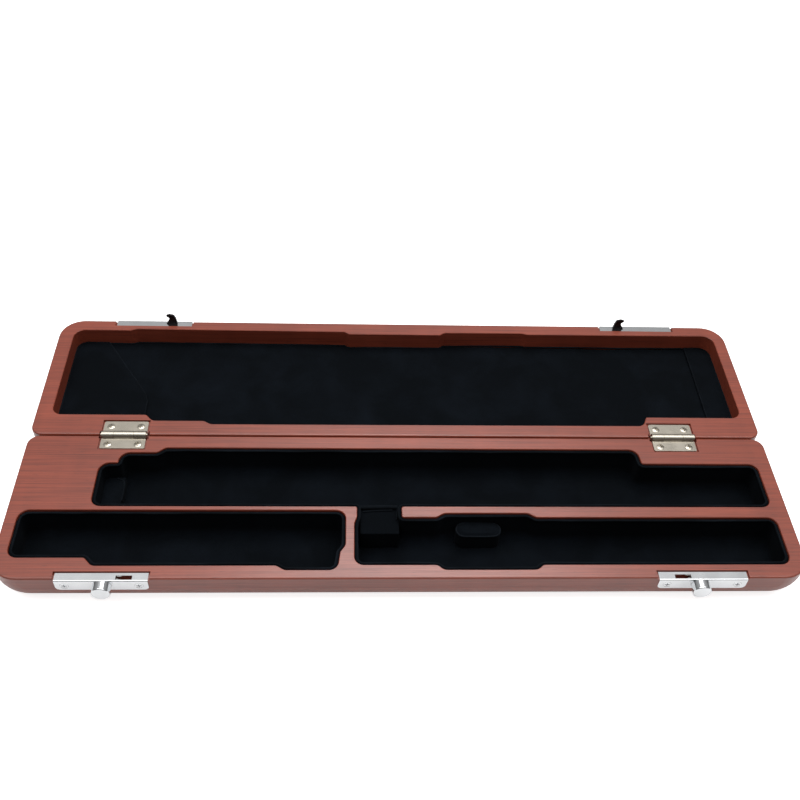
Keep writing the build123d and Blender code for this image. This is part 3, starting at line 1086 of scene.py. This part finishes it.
@dataclass(frozen=True)
class Lamp:
    """A soft white rectangular lamp that faces the case.

    Attributes:
        name: The lamp's name.
        place: Where it hangs, in metres.
        size: Its width and height, in metres.
        power: Its power, in watts.
    """

    name: str
    place: Point
    size: tuple[float, float]
    power: float

    def hang(self) -> None:
        """Adds the lamp to the scene."""
        data = bpy.data.lights.new(self.name, "AREA")
        data.shape = "RECTANGLE"
        data.size, data.size_y = self.size
        data.energy = self.power
        lamp = bpy.data.objects.new(self.name, data)
        towards = Vector(HINGE_MM) * MM - Vector(self.place)
        lamp.rotation_euler = towards.to_track_quat("-Z", "Y").to_euler()
        lamp.location = self.place
        bpy.context.scene.collection.objects.link(lamp)


@dataclass
class Studio:
    """The floor, the surroundings, the lamps and the camera.

    Attributes:
        pitch: How far the camera looks down, in degrees.
        yaw: How far it turns to the right of the hinge line's normal, in degrees.
        roll: How far it leans, in degrees.
        stand: Where it stands from the hinge line's middle at the rims, in millimetres.
        focal_px: Its focal length in pixels of the picture.
        picture_px: The picture's width.
        ground_half: Half the ground's width, in metres.
        paper: How light the ground is.
        glow: What the ground adds of its own light to the camera's rays, and to all glossy rays.
        brightest: The direction that most light comes from.
        sky: How near a direction is to that one, and the grey of the surroundings there.
        lamps: The lamps.
    """

    pitch: float = 46.928
    yaw: float = 4.486
    roll: float = 3.712
    stand: Point = (-31.4, -365.1, 422.3)
    focal_px: float = 975.1
    picture_px: int = 800
    ground_half: float = 6.0
    paper: float = 0.86
    glow: tuple[float, float] = (0.7, 0.1)
    brightest: Point = (0.0, 0.25, 0.968)
    sky: tuple[tuple[float, float], ...] = ((0.1, 0.12), (0.96, 0.92), (0.8, 0.42))
    lamps: tuple[Lamp, ...] = (
        Lamp("overhead", (0.0, 0.0, 1.3), (2.0, 1.0), 14.0),
        Lamp("window", (0.08, 0.5, 1.0), (0.5, 0.32), 3.6),
    )

    def camera(self) -> None:
        """Makes the camera at the place that the case's edges give."""
        pitch, yaw, roll = (math.radians(a) for a in (self.pitch, self.yaw, self.roll))
        ahead = math.cos(pitch)
        forward = Vector((math.sin(yaw) * ahead, math.cos(yaw) * ahead, -math.sin(pitch)))
        level = forward.cross(Vector((0, 0, 1))).normalized()
        upright = level.cross(forward)
        right = level * math.cos(roll) + upright * math.sin(roll)
        up = upright * math.cos(roll) - level * math.sin(roll)
        data = bpy.data.cameras.new("camera")
        data.sensor_width = 36.0
        data.lens = data.sensor_width * self.focal_px / self.picture_px
        data.clip_start = 0.01
        camera = bpy.data.objects.new("camera", data)
        turn = Matrix((right, up, -forward)).transposed().to_4x4()
        place = (Vector(HINGE_MM) + Vector(self.stand)) * MM
        camera.matrix_world = Matrix.Translation(place) @ turn
        bpy.context.scene.collection.objects.link(camera)
        bpy.context.scene.camera = camera

    def floor(self) -> None:
        """Makes the white ground, which keeps the case's shadow."""
        half = self.ground_half
        mesh = bpy.data.meshes.new("ground")
        corners = [(-half, -half, 0), (half, -half, 0), (half, half, 0), (-half, half, 0)]
        mesh.from_pydata(corners, [], [(0, 1, 2, 3)])
        ground = bpy.data.objects.new("ground", mesh)
        bpy.context.scene.collection.objects.link(ground)
        material, tree = new_material("white_paper_ground")
        plain = add_node(tree, "ShaderNodeBsdfDiffuse", {"Color": grey(self.paper)})
        path = add_node(tree, "ShaderNodeLightPath").outputs
        strength = add_node(
            tree,
            "ShaderNodeMath",
            {0: path["Is Camera Ray"], 1: self.glow[0], 2: self.glow[1]},
            operation="MULTIPLY_ADD",
        )
        light = {"Color": grey(1.0), "Strength": strength.outputs[0]}
        glow = add_node(tree, "ShaderNodeEmission", light)
        both = add_node(tree, "ShaderNodeAddShader", {0: plain.outputs[0], 1: glow.outputs[0]})
        # Diffuse light from the case meets plain paper, so that the shadow stays
        seen = add_node(
            tree,
            "ShaderNodeMath",
            {0: path["Is Camera Ray"], 1: path["Is Glossy Ray"]},
            operation="MAXIMUM",
        )
        mixed = add_node(
            tree,
            "ShaderNodeMixShader",
            {0: seen.outputs[0], 1: plain.outputs[0], 2: both.outputs[0]},
        )
        add_node(tree, "ShaderNodeOutputMaterial", {"Surface": mixed.outputs[0]})
        mesh.materials.append(material)

    def world(self) -> None:
        """Makes the surroundings: bright above, dim in front, plain white to the camera."""
        world = bpy.data.worlds.new("studio")
        world.use_nodes = True
        world.node_tree.nodes.clear()
        bpy.context.scene.world = world
        tree = world.node_tree
        way = add_node(tree, "ShaderNodeTexCoord").outputs["Generated"]
        facing = add_node(
            tree, "ShaderNodeVectorMath", {0: way, 1: self.brightest}, operation="DOT_PRODUCT"
        )
        stops = tuple((near, grey(tone)) for near, tone in self.sky)
        level = add_node(tree, "ShaderNodeValToRGB", {"Fac": facing.outputs["Value"]}, stops)
        soft = add_node(tree, "ShaderNodeBackground", {"Color": level.outputs["Color"]})
        white = add_node(tree, "ShaderNodeBackground", {"Color": grey(1.0)})
        path = add_node(tree, "ShaderNodeLightPath").outputs
        mixed = add_node(
            tree,
            "ShaderNodeMixShader",
            {0: path["Is Camera Ray"], 1: soft.outputs[0], 2: white.outputs[0]},
        )
        add_node(tree, "ShaderNodeOutputWorld", {"Surface": mixed.outputs[0]})

    def build(self) -> None:
        """Sets the whole stage."""
        self.camera()
        self.floor()
        self.world()
        for lamp in self.lamps:
            lamp.hang()
        bpy.context.scene.view_settings.view_transform = "Standard"


def clear_scene() -> None:
    """Removes whatever the file starts with."""
    for thing in list(bpy.data.objects):
        bpy.data.objects.remove(thing)


def main() -> None:
    """Builds the case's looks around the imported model."""
    logging.basicConfig(level=logging.INFO, format="%(message)s")
    clear_scene()
    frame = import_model()
    nodes = frame["nodes"]
    finishes = Finishes.build()
    Woodwork(finishes).build(nodes)
    Hardware(finishes).build(nodes)
    Linings().build(nodes, finishes.velvet, finishes.rubbed)
    Studio().build()


if __name__ == "__main__":
    main()
